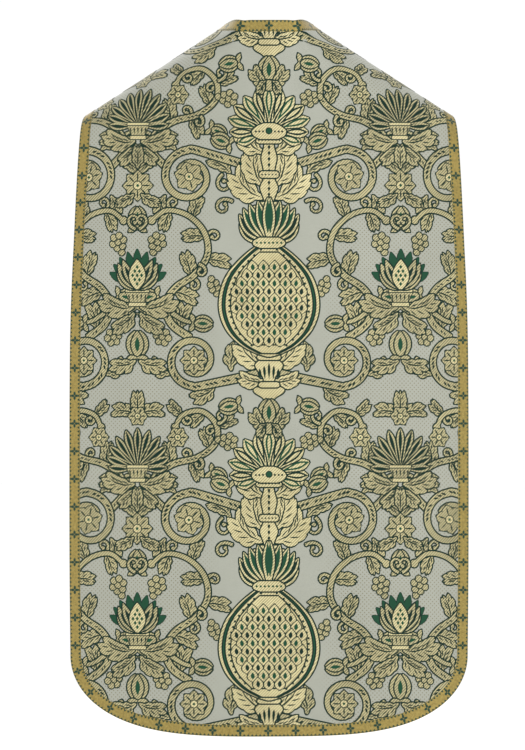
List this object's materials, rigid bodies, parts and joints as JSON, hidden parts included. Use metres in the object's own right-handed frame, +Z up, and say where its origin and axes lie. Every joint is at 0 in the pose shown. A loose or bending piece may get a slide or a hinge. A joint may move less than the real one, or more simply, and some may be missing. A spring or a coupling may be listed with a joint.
{
  "type": "roman chasuble",
  "caption": "Roman fiddleback chasuble in its worn form: broad stiff back panel over the shoulders, narrower front, galloon round every edge.",
  "frame": {"origin": "middle of the neck opening, where the shoulders carry the garment, level with the foot of the neck trim at the nape", "axes": "+Z up, the wearer faces -Y, +X towards the wearer's left"},
  "size_m": [0.6412, 0.2473, 1.1481],
  "materials": {
    "brocade": "silver-grey satin brocade with a gold and deep green floral figure, stiffened, with a plain satin back",
    "galloon": "woven gold galloon with small deep green crosses between dotted edges"
  },
  "bodies": {
    "root": {"back_panel": "brocade", "front_panel": "brocade", "back_edge_galloon": "galloon", "front_edge_galloon": "galloon", "neck_galloon": "galloon"}
  },
  "joints": []
}
